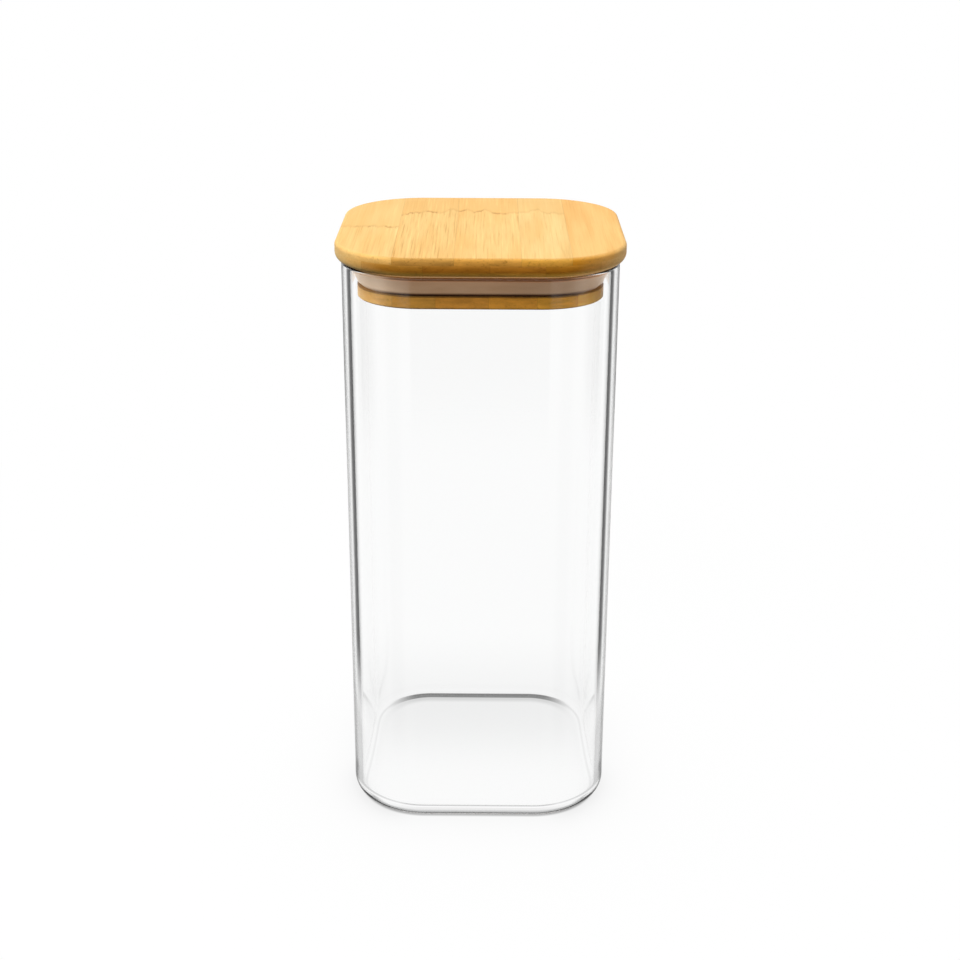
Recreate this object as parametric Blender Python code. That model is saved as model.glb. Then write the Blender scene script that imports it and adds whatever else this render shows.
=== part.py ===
"""Square glass storage jar with a glued bamboo lid and a silicone seal.

The jar stands on z = 0 with its upright middle line on the z axis and its front towards -y.
Lengths are in metres. The glass is one blown body. The lid is a board of two plies with a plug
under it, and each of the three is glued up from laths that run from front to back. The seal is
a silicone ring in a groove round the plug, with one lip that reaches for the glass.
"""
import math

import bmesh
import bpy

# The glass body
GLASS_WIDTH = 0.100  # across the flats, outside
GLASS_CORNER = 0.029  # radius of the upright corners, outside
RIM_HEIGHT = 0.217
WALL = 0.003
FLOOR = 0.0034
FOOT_ROUND = 0.0054  # between the wall and the underside, outside
FLOOR_ROUND = 0.003  # between the wall and the floor, inside
RIM_ROUND = 0.0008  # the fire-polished edges of the rim, either side of its narrow flat
FOOT_BAND = 0.006  # width of the flat ring that the jar stands on
PUSH_UP = 0.0005  # how far the underside's middle is pushed up off the table
PUSH_UP_SLOPE = 0.008

# The lid's board, in two plies
LID_OVERHANG = 0.00215  # past the glass on each side
LID_CORNER = 0.030
UNDER_PLY = 0.0044
TOP_PLY = 0.0026
LID_UNDER_ROUND = 0.0033
LID_TOP_ROUND = 0.0014
LID_SEAT_GAP = 0.0003  # between the board and the glass rim

# The plug under the board, with the groove that holds the seal
PLUG_DEPTH = 0.0127
PLUG_GAP = 0.0026  # between the plug and the glass on each side
FLANGE_HEIGHT = 0.0044  # what is left of the plug below the groove
GROOVE_DEPTH = 0.003
PLUG_EASE = 0.0005  # the sanded edge of the plug's underside

# The seal
SEAL_FIT = 0.0003  # between the seal and the groove
LIP_GAP = 0.0003  # between the lip and the glass
LIP_DROP = 0.0016  # from the rim down to the lip's tip
LIP_THICKNESS = 0.0007
LIP_BOW = 0.0003  # how far the lip's faces hollow in between foot and tip
BAND_THICKNESS = 0.0014
SEAL_FOOT_RISE = 0.0012  # how far the seal's foot is bevelled up under the lip

# Where the glue joints lie across each layer, as shares of the layer's half width
TOP_JOINT_SHARES = (-0.581, -0.171, 0.272, 0.606)
UNDER_JOINT_SHARES = (-0.786, -0.376, 0.065, 0.431, 0.800)
PLUG_JOINT_SHARES = (-0.685, -0.351, 0.068, 0.450, 0.761)

# Facets
CORNER_STEPS = 12
ROUND_STEPS = 5
RIM_STEPS = 4
SLOPE_STEPS = 4
LIP_STEPS = 4
SHARP_ANGLE = math.radians(32)

# Colours as linear shares of red, green and blue
GLASS_SHARES = (0.93, 0.96, 0.95)
SILICONE_SHARES = (0.62, 0.55, 0.51)
BAMBOO_SHARES = (0.72, 0.46, 0.19)
LATH_TONE_SHARES = (1.00, 0.93, 1.06, 0.97, 1.04, 0.90)

# What follows from the sizes above
GLASS_HALF = GLASS_WIDTH / 2
BORE_HALF = GLASS_HALF - WALL
GLASS_FLAT = GLASS_HALF - GLASS_CORNER  # half the flat between two upright corners
BOARD_HALF = GLASS_HALF + LID_OVERHANG
BOARD_FLAT = BOARD_HALF - LID_CORNER
BOARD_THICKNESS = UNDER_PLY + TOP_PLY
LID_SEAT = RIM_HEIGHT + LID_SEAT_GAP  # height of the board's underside
PLUG_HALF = BORE_HALF - PLUG_GAP
NECK_HALF = PLUG_HALF - GROOVE_DEPTH
GROOVE_FLOOR = FLANGE_HEIGHT - PLUG_DEPTH  # height from the board's underside, so it is negative


def clear_scene():
    """Removes every object that a new file starts with."""
    for thing in list(bpy.data.objects):
        bpy.data.objects.remove(thing)


def arc(centre_half, centre_height, radius, start, end, steps):
    """Points (half width, height) along an arc, with its angles counted from the outward direction."""
    points = []
    for i in range(steps + 1):
        angle = math.radians(start + (end - start) * i / steps)
        half = centre_half + radius * math.cos(angle)
        height = centre_height + radius * math.sin(angle)
        points.append((half, height))
    return points


def ring(half, flat, height):
    """The corners of a rounded square at one height, anticlockwise seen from above.

    half is half its width and flat half the straight part of a side, so offset rings share their
    corner centres, as a wall of even thickness asks.
    """
    radius = half - flat
    points = []
    for quarter, (side_x, side_y) in enumerate(((1, 1), (-1, 1), (-1, -1), (1, -1))):
        for i in range(CORNER_STEPS + 1):
            angle = math.pi / 2 * (quarter + i / CORNER_STEPS)
            x = side_x * flat + radius * math.cos(angle)
            y = side_y * flat + radius * math.sin(angle)
            points.append((x, y, height))
    return points


def lofted(profile, flat, endless=False):
    """A solid whose wall joins rounded squares of the profile's half widths and heights.

    The profile runs outwards along the underside and then up. An endless profile closes on
    itself and makes a ring. Any other is capped at its first and last squares.
    """
    shape = bmesh.new()
    rings = [[shape.verts.new(point) for point in ring(half, flat, height)] for half, height in profile]
    pairs = list(zip(rings, rings[1:]))
    if endless:
        pairs.append((rings[-1], rings[0]))
    for lower, upper in pairs:
        for i in range(len(lower)):
            j = (i + 1) % len(lower)
            shape.faces.new((lower[i], lower[j], upper[j], upper[i]))
    if not endless:
        shape.faces.new(reversed(rings[0]))
        shape.faces.new(rings[-1])
    return shape


def lath(layer, low, high):
    """What lies of a layer between two upright planes at x = low and x = high."""
    piece = layer.copy()
    for place, side in ((low, -1), (high, 1)):
        if place is None:
            continue
        parts = piece.verts[:] + piece.edges[:] + piece.faces[:]
        cut = bmesh.ops.bisect_plane(
            piece, geom=parts, plane_co=(place, 0, 0), plane_no=(side, 0, 0), clear_outer=True
        )
        for part in cut["geom_cut"]:
            if isinstance(part, bmesh.types.BMVert):
                part.co.x = place
        open_edges = [edge for edge in piece.edges if edge.is_boundary]
        bmesh.ops.holes_fill(piece, edges=open_edges)
    bmesh.ops.recalc_face_normals(piece, faces=piece.faces[:])
    return piece


def finish(name, colour_shares, roughness, transmission=0.0):
    """The piece's own material."""
    material = bpy.data.materials.new(name)
    material.use_nodes = True
    shader = material.node_tree.nodes["Principled BSDF"]
    shader.inputs["Base Color"].default_value = (*colour_shares, 1.0)
    shader.inputs["Roughness"].default_value = roughness
    shader.inputs["Metallic"].default_value = 0.0
    shader.inputs["Transmission Weight"].default_value = transmission
    return material


def placed(name, shape, material, parent=None):
    """Turns a shape into a named object that carries its material and rides on its parent."""
    mesh = bpy.data.meshes.new(name)
    shape.to_mesh(mesh)
    shape.free()
    mesh.shade_smooth()
    mesh.set_sharp_from_angle(angle=SHARP_ANGLE)
    mesh.materials.append(material)
    thing = bpy.data.objects.new(name, mesh)
    bpy.context.scene.collection.objects.link(thing)
    thing.parent = parent
    return thing


def push_up_profile():
    """The underside from its pushed-up middle down a soft slope to the flat ring that stands."""
    outer = GLASS_HALF - FOOT_ROUND - FOOT_BAND
    points = []
    for i in range(SLOPE_STEPS + 1):
        share = i / SLOPE_STEPS
        half = outer - PUSH_UP_SLOPE * (1 - share)
        height = PUSH_UP * (1 + math.cos(math.pi * share)) / 2
        points.append((half, height))
    return points


def glass_body():
    """One blown body: underside, wall, polished rim, bore and floor in one run."""
    profile = push_up_profile()
    profile += arc(GLASS_HALF - FOOT_ROUND, FOOT_ROUND, FOOT_ROUND, -90, 0, ROUND_STEPS)
    profile += arc(GLASS_HALF - RIM_ROUND, RIM_HEIGHT - RIM_ROUND, RIM_ROUND, 0, 90, RIM_STEPS)
    profile += arc(BORE_HALF + RIM_ROUND, RIM_HEIGHT - RIM_ROUND, RIM_ROUND, 90, 180, RIM_STEPS)
    profile += arc(BORE_HALF - FLOOR_ROUND, FLOOR + FLOOR_ROUND, FLOOR_ROUND, 0, -90, ROUND_STEPS)
    placed("glass_body", lofted(profile, GLASS_FLAT), finish("glass", GLASS_SHARES, 0.02, 1.0))


def laths_of(layer_name, layer, half, joint_shares, parent):
    """Cuts a layer along its glue joints and places each lath under its own name."""
    joints = [None] + [share * half for share in joint_shares] + [None]
    for i, (low, high) in enumerate(zip(joints, joints[1:])):
        name = f"{layer_name}_lath_{i + 1}"
        tone = LATH_TONE_SHARES[i]
        shares = [share * tone for share in BAMBOO_SHARES]
        placed(name, lath(layer, low, high), finish(name, shares, 0.45), parent)
    layer.free()


def board(lid):
    """The board that covers the glass: an under ply and a top ply that meet on one flat face."""
    under = arc(BOARD_HALF - LID_UNDER_ROUND, LID_UNDER_ROUND, LID_UNDER_ROUND, -90, 0, ROUND_STEPS)
    under.append((BOARD_HALF, UNDER_PLY))
    laths_of("under", lofted(under, BOARD_FLAT), BOARD_HALF, UNDER_JOINT_SHARES, lid)

    top = [(BOARD_HALF, UNDER_PLY)]
    top += arc(BOARD_HALF - LID_TOP_ROUND, BOARD_THICKNESS - LID_TOP_ROUND, LID_TOP_ROUND, 0, 90, ROUND_STEPS)
    laths_of("top", lofted(top, BOARD_FLAT), BOARD_HALF, TOP_JOINT_SHARES, lid)


def plug(lid):
    """The plug that drops into the mouth. The groove leaves a flange below and a neck above."""
    profile = [
        (PLUG_HALF - PLUG_EASE, -PLUG_DEPTH),
        (PLUG_HALF, PLUG_EASE - PLUG_DEPTH),
        (PLUG_HALF, GROOVE_FLOOR),
        (NECK_HALF, GROOVE_FLOOR),
        (NECK_HALF, 0),
    ]
    laths_of("plug", lofted(profile, GLASS_FLAT), PLUG_HALF, PLUG_JOINT_SHARES, lid)


def lip_face(foot, tip, bow):
    """Points along one face of the lip, from foot to tip, hollowed in by a shallow parabola."""
    points = []
    for i in range(LIP_STEPS + 1):
        share = i / LIP_STEPS
        hollow = 4 * bow * share * (1 - share)
        half = foot[0] + (tip[0] - foot[0]) * share - hollow
        height = foot[1] + (tip[1] - foot[1]) * share
        points.append((half, height))
    return points


def seal(lid):
    """A band round the neck with a lip that flares up and out from its foot towards the glass."""
    band_inside = NECK_HALF + SEAL_FIT
    band_outside = band_inside + BAND_THICKNESS
    bottom = GROOVE_FLOOR + SEAL_FIT
    top = -SEAL_FIT
    tip_height = -LID_SEAT_GAP - LIP_DROP
    tip_half = BORE_HALF - LIP_GAP
    outer = lip_face((PLUG_HALF, bottom + SEAL_FOOT_RISE), (tip_half, tip_height - LIP_THICKNESS / 2), LIP_BOW)
    valley = (band_outside, bottom + SEAL_FOOT_RISE + LIP_THICKNESS)
    inner = lip_face(valley, (tip_half - LIP_THICKNESS, tip_height), LIP_BOW)
    profile = [(band_inside, bottom), (PLUG_HALF - SEAL_FOOT_RISE, bottom)]
    profile += outer
    profile += reversed(inner)
    profile += [(band_outside, top), (band_inside, top)]
    shape = lofted(profile, GLASS_FLAT, endless=True)
    placed("silicone_seal", shape, finish("silicone", SILICONE_SHARES, 0.35), lid)


def lid_axis():
    """An empty on the line that the lid lifts along, at the height of the board's underside."""
    axis = bpy.data.objects.new("lid_axis", None)
    axis.location = (0, 0, LID_SEAT)
    bpy.context.scene.collection.objects.link(axis)
    return axis


def main():
    clear_scene()
    glass_body()
    lid = lid_axis()
    board(lid)
    plug(lid)
    seal(lid)


main()
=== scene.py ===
# %% [markdown]
# # A square glass jar with a bamboo lid
#
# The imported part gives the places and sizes. This lesson gives it its looks: a blown glass body, a
# glued bamboo lid and a milky seal, on a white table in soft light. Each step says what a piece is
# on the real jar, how it could be made in Blender, and why it is made this way here.
#
# Lengths are in metres. The front of the jar faces -Y and the grain of the bamboo runs along Y.

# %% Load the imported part
import math

import bmesh
import bpy
import numpy as np
from mathutils import Matrix, Vector


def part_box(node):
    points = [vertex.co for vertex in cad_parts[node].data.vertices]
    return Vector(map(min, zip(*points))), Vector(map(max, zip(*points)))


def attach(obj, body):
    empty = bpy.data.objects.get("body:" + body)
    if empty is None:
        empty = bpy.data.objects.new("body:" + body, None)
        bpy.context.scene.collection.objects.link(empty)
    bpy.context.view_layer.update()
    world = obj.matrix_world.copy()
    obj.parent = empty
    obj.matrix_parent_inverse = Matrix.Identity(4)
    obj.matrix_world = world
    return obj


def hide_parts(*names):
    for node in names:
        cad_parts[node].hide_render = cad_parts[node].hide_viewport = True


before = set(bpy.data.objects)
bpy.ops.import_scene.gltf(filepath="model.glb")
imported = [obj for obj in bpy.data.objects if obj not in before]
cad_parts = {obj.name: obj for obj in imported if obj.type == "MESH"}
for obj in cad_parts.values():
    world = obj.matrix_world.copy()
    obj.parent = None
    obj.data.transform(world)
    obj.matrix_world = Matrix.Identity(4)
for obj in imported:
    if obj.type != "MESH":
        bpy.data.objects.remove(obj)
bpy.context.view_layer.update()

# %% [markdown]
# ## Sizes
#
# A maker measures the pieces before finishing them. The outer sizes could be typed in again, but
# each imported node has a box, and sizes that are read from the boxes can't drift away from the part.
# The corner of the glass is named here too, because the plug and the seal follow it.

# %% Read the sizes
glass_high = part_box("glass_body")[1]
seal_low, seal_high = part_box("silicone_seal")
GLASS_HALF = glass_high.x
RIM_HEIGHT = glass_high.z
LID_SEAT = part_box("under_lath_1")[0].z
PLY_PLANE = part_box("top_lath_1")[0].z
LID_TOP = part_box("top_lath_1")[1].z
BOARD_HALF = -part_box("top_lath_1")[0].x
PLUG_HALF = -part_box("plug_lath_1")[0].x
PLUG_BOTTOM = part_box("plug_lath_1")[0].z
GLASS_CORNER = 0.029
GLASS_FLAT = GLASS_HALF - GLASS_CORNER
print("board", BOARD_HALF, "plug", PLUG_HALF, "glass", GLASS_HALF, "seat", LID_SEAT)

# %% [markdown]
# ## Camera
#
# The camera stands in front of the jar, 23 degrees above the table, and looks a little above the
# jar's middle. It could be turned by hand until the picture looks right. Here its place comes from
# distance, azimuth and elevation, because each of these can then be corrected without the others.

# %% Set the camera
CAMERA_ELEVATION = math.radians(23.33)
CAMERA_AZIMUTH = math.radians(0.31)
CAMERA_DISTANCE = 0.63722
CAMERA_PITCH = math.radians(1.95)
CAMERA_ROLL = math.radians(0.22)
CAMERA_TARGET = Vector((0, 0, 0.1))
CAMERA_LENS = 60
CAMERA_SENSOR = 36
CAMERA_REACH = 50


def look_at_jar():
    """A camera whose place is given by distance, azimuth and elevation round the target."""
    upright = Vector((0, 0, 1))
    level = math.cos(CAMERA_ELEVATION)
    back = Vector((
        math.sin(CAMERA_AZIMUTH) * level,
        -math.cos(CAMERA_AZIMUTH) * level,
        math.sin(CAMERA_ELEVATION),
    ))
    right = (-back).cross(upright).normalized()
    ahead = -back * math.cos(CAMERA_PITCH) + right.cross(-back) * math.sin(CAMERA_PITCH)
    right = ahead.cross(upright).normalized()
    above = right.cross(ahead)
    side = right * math.cos(CAMERA_ROLL) + above * math.sin(CAMERA_ROLL)
    top = -right * math.sin(CAMERA_ROLL) + above * math.cos(CAMERA_ROLL)
    turn = Matrix((side, top, -ahead)).transposed().to_4x4()
    camera = bpy.data.objects.new("camera", bpy.data.cameras.new("camera"))
    camera.matrix_world = Matrix.Translation(CAMERA_TARGET + back * CAMERA_DISTANCE) @ turn
    camera.data.lens = CAMERA_LENS
    camera.data.sensor_width = CAMERA_SENSOR
    camera.data.clip_end = CAMERA_REACH
    bpy.context.scene.collection.objects.link(camera)
    bpy.context.scene.camera = camera
    return camera


camera = look_at_jar()
bpy.context.scene.view_settings.view_transform = "Standard"
print("camera at", [round(v, 4) for v in camera.location])

# %% [markdown]
# ## Shader maths
#
# Every material below is worked out from places on the object, so it needs a good deal of maths.
# The nodes could be made one by one, in many lines that nobody can read. `Value` wraps a socket
# instead, so that the maths reads like plain arithmetic, and `Graph.node` makes any other node from
# its type, its settings and its inputs. The two numbers in `smooth` are where a step starts and
# where it is complete: places in metres, angles in degrees, or levels of a noise from 0 to 1.

# %% Wrap one socket


class Value:
    """One number or vector inside a shader, with the usual arithmetic."""

    def __init__(self, graph, socket):
        self.graph = graph
        self.socket = socket

    def maths(self, operation, *others):
        """A Math node with this value as its first input."""
        inputs = {i: term for i, term in enumerate((self, *others))}
        return self.graph.node("ShaderNodeMath", {"operation": operation}, inputs)

    def __add__(self, other):
        return self.maths("ADD", other)

    def __sub__(self, other):
        return self.maths("SUBTRACT", other)

    def __rsub__(self, other):
        return (self * -1.0) + other

    def __mul__(self, other):
        return self.maths("MULTIPLY", other)

    def __truediv__(self, other):
        return self.maths("DIVIDE", other)

    def __abs__(self):
        return self.maths("ABSOLUTE")

    __radd__ = __add__
    __rmul__ = __mul__

    def over(self, level):
        """1 where the value is above the level, else 0."""
        return self.maths("GREATER_THAN", level)

    def most(self, other):
        """The greater of the two."""
        return self.maths("MAXIMUM", other)

    def least(self, other):
        """The lesser of the two."""
        return self.maths("MINIMUM", other)

    def smooth(self, low, high):
        """0 at low and 1 at high, with a soft step between."""
        return self.graph.node(
            "ShaderNodeMapRange",
            {"interpolation_type": "SMOOTHSTEP"},
            {"Value": self, "From Min": low, "From Max": high},
        )

    def bump(self, width):
        """A bell of this half width round zero: exp(-(value / width) squared)."""
        share = self / width
        return (share * share * -1.0).maths("EXPONENT")


print("a Value knows arithmetic, over, most, least, smooth and bump")

# %% Collect the nodes of one tree
NOISE_MEAN = 0.5


class Graph:
    """The nodes of one material or of the world."""

    def __init__(self, tree):
        self.tree = tree

    def node(self, kind, settings=None, inputs=None, output=0):
        """Makes a node. Inputs are values to set, or Values to link."""
        made = self.tree.nodes.new(kind)
        for name, setting in (settings or {}).items():
            setattr(made, name, setting)
        for name, term in (inputs or {}).items():
            if isinstance(term, Value):
                self.tree.links.new(term.socket, made.inputs[name])
            else:
                made.inputs[name].default_value = term
        return Value(self, made.outputs[output]) if made.outputs else None

    def place(self):
        """Where a point of the surface lies on its own object."""
        return self.node("ShaderNodeTexCoord", None, None, "Object")

    def axes(self, vector):
        """The x, y and z of a vector."""
        return [self.node("ShaderNodeSeparateXYZ", None, {0: vector}, axis) for axis in range(3)]

    def noise(self, place, scale, shift=(0, 0, 0), detail=2.0):
        """Smooth noise from 0 to 1 at place * scale + shift. Its grains are 1 / scale long."""
        terms = {0: place, 1: scale, 2: shift}
        grains = self.node("ShaderNodeVectorMath", {"operation": "MULTIPLY_ADD"}, terms)
        return self.node("ShaderNodeTexNoise", None, {"Vector": grains, "Scale": 1.0, "Detail": detail})

    def tinted(self, colour, tint):
        """The colour times the tint, channel by channel."""
        return self.node("ShaderNodeVectorMath", {"operation": "MULTIPLY"}, {0: colour, 1: tint})

    def lit(self, colour, light):
        """The colour times one number."""
        return self.node("ShaderNodeVectorMath", {"operation": "SCALE"}, {0: colour, 3: light})

    def mixed(self, share, first, second):
        """The first colour where the share is 0, the second where it is 1, a blend between."""
        settings = {"data_type": "RGBA", "clamp_result": False}
        return self.node("ShaderNodeMix", settings, {0: share, 6: first, 7: second}, 2)

    def path(self, name):
        """One of the outputs that say how a ray got here."""
        return self.node("ShaderNodeLightPath", None, None, name)


print("a Graph knows node, place, axes, noise, tinted, lit, mixed and path")

# %% Start and close a material
BLACK = (0, 0, 0, 1)
WHITE = (1, 1, 1, 1)


def material_of(name):
    """An empty node material and its graph."""
    material = bpy.data.materials.new(name)
    material.use_nodes = True
    material.node_tree.nodes.clear()
    return material, Graph(material.node_tree)


def principled(graph, **inputs):
    """The Principled shader, with _ for the spaces in its input names."""
    named = {name.replace("_", " "): term for name, term in inputs.items()}
    return graph.node("ShaderNodeBsdfPrincipled", None, named)


def surface(graph, shader):
    """Links a shader to the material's surface."""
    graph.node("ShaderNodeOutputMaterial", None, {"Surface": shader})


print("colours run from", BLACK, "to", WHITE)

# %% [markdown]
# ## Surfaces
#
# The jar, its lid and its seal all share one plan: a square with rounded corners. Such a shape could
# be a box with bevels, but bevels pinch where rounds of different sizes meet. Here a profile is
# carried round the plan as a grid of points, which gives even quads and clean rounds. `crowded`
# packs the points closer together at both ends of a straight run, which keeps the shading of a long
# flat wall flat.

# %% Space the points


def crowded(count):
    """Shares (1 - cos(pi t)) / 2 for t from 0 to 1 in count steps."""
    return (1 - np.cos(np.pi * np.arange(count + 1) / count)) / 2


def arc(half, height, radius, start, end, steps):
    """Points (half width, height) round a centre, at angles from start to end in degrees."""
    angle = np.radians(np.linspace(start, end, steps + 1))
    return np.column_stack([half + radius * np.cos(angle), height + radius * np.sin(angle)])


def run(start, end, steps):
    """The inner points of a straight run: start + (end - start) * crowded share."""
    share = crowded(steps)[1:-1, None]
    return np.asarray(start) + (np.asarray(end) - np.asarray(start)) * share


print("four crowded steps lie at", crowded(4).round(3))

# %% Carry a profile round a rounded square


def loop_directions(corner_steps, side_steps):
    """The rounded square as rows (side x, side y, cosine, sine).

    A point is flat * side + (half - flat) * (cosine, sine), so that rings of any half width keep
    the same corner centres.
    """
    rows = []
    sides = np.array([(1, 1), (-1, 1), (-1, -1), (1, -1)])
    for quarter in range(4):
        here, there = sides[quarter], sides[(quarter + 1) % 4]
        angle = math.pi / 2 * (quarter + np.arange(corner_steps + 1) / corner_steps)
        corner = np.tile(here, (corner_steps + 1, 1))
        rows.append(np.column_stack([corner, np.cos(angle), np.sin(angle)]))
        share = crowded(side_steps)[1:-1, None]
        turn = np.tile([math.cos(angle[-1]), math.sin(angle[-1])], (side_steps - 1, 1))
        rows.append(np.column_stack([here + (there - here) * share, turn]))
    return np.vstack(rows)


def rounded_rings(profile, flat, shrink, loop):
    """Grid of points: one ring of the loop for each (half width, height) of the profile.

    x = (flat * side x + (half - flat) * cosine) * shrink, y likewise, z = height.
    """
    half, height, share = profile[:, :1], profile[:, 1:], shrink[:, None]
    x = (flat * loop[:, 0] + (half - flat) * loop[:, 2]) * share
    y = (flat * loop[:, 1] + (half - flat) * loop[:, 3]) * share
    return np.stack([x, y, np.broadcast_to(height, x.shape)], -1)


print("a plain loop has", len(loop_directions(2, 2)), "points")

# %% Turn a grid into a piece
MERGE_DISTANCE = 1e-7
THIN_EDGE = 1e-8


def quads(rows, columns, wrap_rows=False, wrap_columns=True, start=0):
    """The four corners of every cell of a grid of points, wrapped round where asked."""
    index = start + np.arange(rows * columns).reshape(rows, columns)
    if wrap_rows:
        index = np.vstack([index, index[:1]])
    if wrap_columns:
        index = np.hstack([index, index[:, :1]])
    cells = [index[:-1, :-1], index[:-1, 1:], index[1:, 1:], index[1:, :-1]]
    return np.stack(cells, -1).reshape(-1, 4)


def piece(name, points, faces, body, nodes, materials, sharp=None):
    """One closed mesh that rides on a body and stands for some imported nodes."""
    mesh = bpy.data.meshes.new(name)
    mesh.from_pydata(points.reshape(-1, 3).tolist(), [], faces.tolist())
    shape = bmesh.new()
    shape.from_mesh(mesh)
    bmesh.ops.remove_doubles(shape, verts=shape.verts[:], dist=MERGE_DISTANCE)
    bmesh.ops.dissolve_degenerate(shape, edges=shape.edges[:], dist=THIN_EDGE)
    bmesh.ops.recalc_face_normals(shape, faces=shape.faces[:])
    shape.to_mesh(mesh)
    shape.free()
    mesh.shade_smooth()
    if sharp:
        mesh.set_sharp_from_angle(angle=math.radians(sharp))
    for material in materials:
        mesh.materials.append(material)
    thing = bpy.data.objects.new(name, mesh)
    bpy.context.scene.collection.objects.link(thing)
    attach(thing, body)
    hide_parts(*nodes)
    return thing


print("a ring of four points and its neighbour make", len(quads(2, 4)), "quads")

# %% [markdown]
# ## Bamboo
#
# The lid is glued up from laths of split cane. Each has its own tone, fibres along Y and broad bands
# of colour, and its cut ends are darker and specked with pores. A picture of wood could be laid on
# the laths, but it would smear on their rounded edges and show the same marks twice. Noise fills
# each lath right through, and it is stretched along the cane, because bamboo grows that way.

# %% Name the colours and the grain
BAMBOO_PALE = (0.82, 0.53, 0.205, 1)
BAMBOO_WARM = (0.78, 0.45, 0.15, 1)
BAMBOO_DARK = (0.50, 0.24, 0.055, 1)
BAMBOO_END = (0.44, 0.17, 0.016, 1)
# the paler end colours near the top round and the underside are painted light on the cut ends
BAMBOO_END_HIGH = (0.86, 0.42, 0.085, 1)
BAMBOO_END_LOW = (0.95, 0.50, 0.06, 1)
BAMBOO_PORE = (0.22, 0.075, 0.006, 1)
BAND_SCALE = (130, 14, 130)
FIBRE_SCALE = (1500, 28, 1500)
FINE_SCALE = (3600, 60, 3600)
CLOUD_SCALE = (90, 40, 90)
MOTTLE_SCALE = (150, 60, 620)
PORE_SCALE = (900, 200, 1500)
print("a fibre is about", round(1000 / FIBRE_SCALE[1]), "mm long")

# %% [markdown]
# ## Knuckles
#
# Where the cane had a joint, a lath shows a knuckle: a thin broken scar with a soft shadow, a few
# dark specks, and fewer fibres beyond it. It could be one dark line straight across. Here it is a
# bell of the distance from the joint. Two waves bend that distance and noise breaks the scar up,
# because a real knuckle wanders, and comes and goes across the lath.

# %% Measure from a knuckle
WAVE_SCALE = (130, 0, 0)
RIPPLE_SCALE = (520, 0, 0)
WAVE_HEIGHT = 0.030
RIPPLE_HEIGHT = 0.006


def from_knuckle(graph, place, y, knuckle, seed):
    """The distance from the cane joint along Y, bent by noise: y - knuckle - wave - ripple."""
    wave = graph.noise(place, WAVE_SCALE, (seed, seed, 0), 1.0)
    ripple = graph.noise(place, RIPPLE_SCALE, (seed, 9, 0), 1.0)
    return y - knuckle - (wave - NOISE_MEAN) * WAVE_HEIGHT - (ripple - NOISE_MEAN) * RIPPLE_HEIGHT


print("a knuckle wanders within", round(WAVE_HEIGHT + RIPPLE_HEIGHT, 3), "metres")

# %% Mark a knuckle
BREAK_SCALE = (280, 30, 0)
SPECK_SCALE = (1300, 700, 0)
SCAR_WIDTH = 0.0011
SCAR_SHADOW = 0.18
SCAR_LEAST = 0.04  # what is left of a scar where it is broken
SCAR_GAIN = 0.62
SHADOW_AWAY = 0.0014
SHADOW_WIDTH = 0.0018
SPECK_SHARE = 0.5
SPECK_WIDTH = 0.003
# a painted highlight runs along a ridge this far beyond the scar
RIDGE_AWAY = 0.0034
RIDGE_WIDTH = 0.0009
RIDGE_LIGHT = 0.07
SHELTERED_DIM = 0.02
SHELTERED_STREAKS = 0.75  # how far the streaks fade beyond a knuckle


def knuckle_marks(graph, place, away, seed):
    """What a cane joint shows, where away is the distance from it along Y.

    It gives the share that lies beyond the joint, the scar's strength and the change of light, which
    holds a painted highlight along a ridge beside the scar.
    """
    shown = graph.noise(place, BREAK_SCALE, (seed, 7, 0)).smooth(0.46, 0.62)
    specks = graph.noise(place, SPECK_SCALE, (seed, 0, 0), 1.0).smooth(0.66, 0.74)
    beyond = away.smooth(-0.0005, 0.0015)
    scar = away.bump(SCAR_WIDTH) * (SCAR_LEAST + shown * SCAR_GAIN)
    scar = scar + (away - SHADOW_AWAY).bump(SHADOW_WIDTH) * SCAR_SHADOW
    scar = scar + specks * (away + SPECK_WIDTH).bump(SPECK_WIDTH) * SPECK_SHARE
    ridge = (away - RIDGE_AWAY).bump(RIDGE_WIDTH) * shown
    return beyond, scar, ridge * RIDGE_LIGHT - beyond * SHELTERED_DIM


print("its scar is", SCAR_WIDTH, "metres to each side")

# %% Colour the cut ends
PORE_SHARE = 0.4


def cut_end_colour(graph, place, height, lower, end_tint, seed):
    """The colour of the cut ends, with dark pores, paler towards the board's top and underside, which
    is painted light.
    """
    upper = height.smooth(LID_TOP - 0.0040, LID_TOP - 0.0007)
    colour = graph.mixed(upper, BAMBOO_END, BAMBOO_END_HIGH)
    colour = graph.mixed(lower, colour, BAMBOO_END_LOW)
    pores = graph.noise(place, PORE_SCALE, (seed, 0, seed)).smooth(0.56, 0.76)
    return graph.tinted(graph.mixed(pores * PORE_SHARE, colour, BAMBOO_PORE), end_tint)


print("cut ends run from", BAMBOO_END[:3], "to", BAMBOO_END_HIGH[:3])

# %% [markdown]
# ## Light on the wood's edges
#
# The board's edge isn't lit evenly. A faint dark line runs under its top round, its lower edge is
# dim on the left and takes light from the table on the right, and the plug stands in the seal's
# shade. More lamps could do this, but they would change the top face too. So this light and shade
# is painted into the wood's colour, as a few shares that follow the place on the edge, and it
# stays with the wood when the lid moves.

# %% Shade the edges
FLANGE_HEIGHT = 0.0044
RIDGE_DIM = 0.13
LEFT_DIM = 0.65
RIGHT_GAIN = 0.35
GROOVE_DIM = 0.12
GROOVE_LINE_DIM = 0.55
GROOVE_LINE = 0.0004
PLUG_CORNER_GAIN = 0.5


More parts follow.
